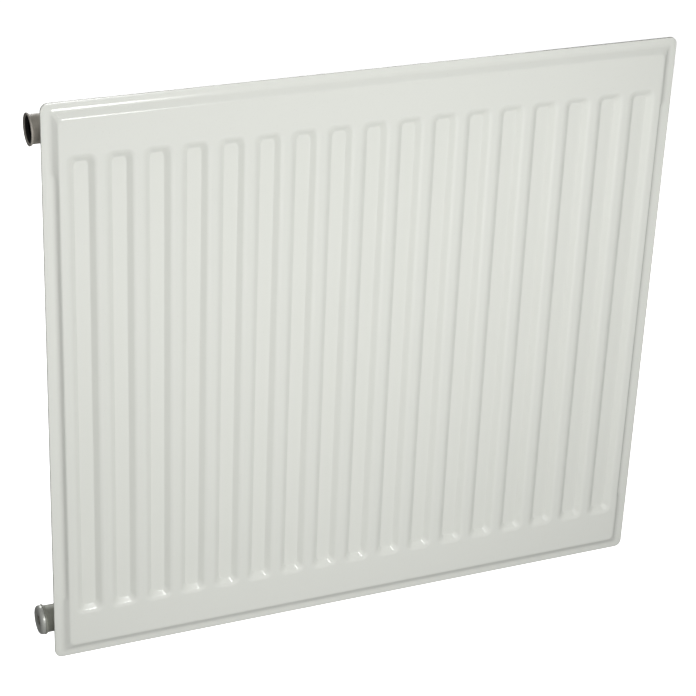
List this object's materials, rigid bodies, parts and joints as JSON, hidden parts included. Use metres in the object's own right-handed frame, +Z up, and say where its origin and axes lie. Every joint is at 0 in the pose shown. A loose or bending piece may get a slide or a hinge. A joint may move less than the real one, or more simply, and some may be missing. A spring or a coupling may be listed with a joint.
{
  "type": "panel radiator with vent plug",
  "caption": "Wall-hung single-panel steel radiator with pressed vertical grooves, a convector behind, threaded pipe tappings and a vent plug with a bleed screw.",
  "frame": {"origin": "middle of the panel's bottom edge, in the plane where the front and rear sheets are welded together", "axes": "+X along the radiator to the viewer's right, +Y from the front face to the wall, +Z up"},
  "size_m": [0.6159, 0.0459, 0.55],
  "materials": {
    "enamel": "gloss white baked enamel",
    "bare_steel": "bare, lightly oxidised steel",
    "nickel_plate": "dull nickel plate",
    "screw_brass": "nickel-plated brass",
    "seal_rubber": "matt black"
  },
  "bodies": {
    "radiator": {"front_sheet": "enamel", "rear_sheet": "enamel", "convector_left": "enamel", "convector_middle": "enamel", "convector_right": "enamel", "boss_top_left": "bare_steel", "boss_top_right": "bare_steel", "boss_bottom_left": "bare_steel", "boss_bottom_right": "bare_steel", "lug_top_left": "enamel", "lug_top_right": "enamel", "lug_bottom_left": "enamel", "lug_bottom_right": "enamel", "vent_plug": "nickel_plate", "plug_seal": "seal_rubber"},
    "screw_travel": {"screw_seal": "seal_rubber"},
    "screw_turn": {"vent_screw": "screw_brass"}
  },
  "joints": [
    {"name": "vent_travel", "type": "slide", "parent": "radiator", "child": "screw_travel", "axis": [-1, 0, 0], "range_m": [0, 0.002]},
    {"name": "vent_turn", "type": "hinge", "parent": "screw_travel", "child": "screw_turn", "pos_m": [-0.3104, 0.0215, 0.03], "axis": [-1, 0, 0], "range_deg": [0, 720]}
  ],
  "couplings": [
    {"joint": "vent_turn", "follows": "vent_travel", "rad_per_m": 6283.2}
  ]
}
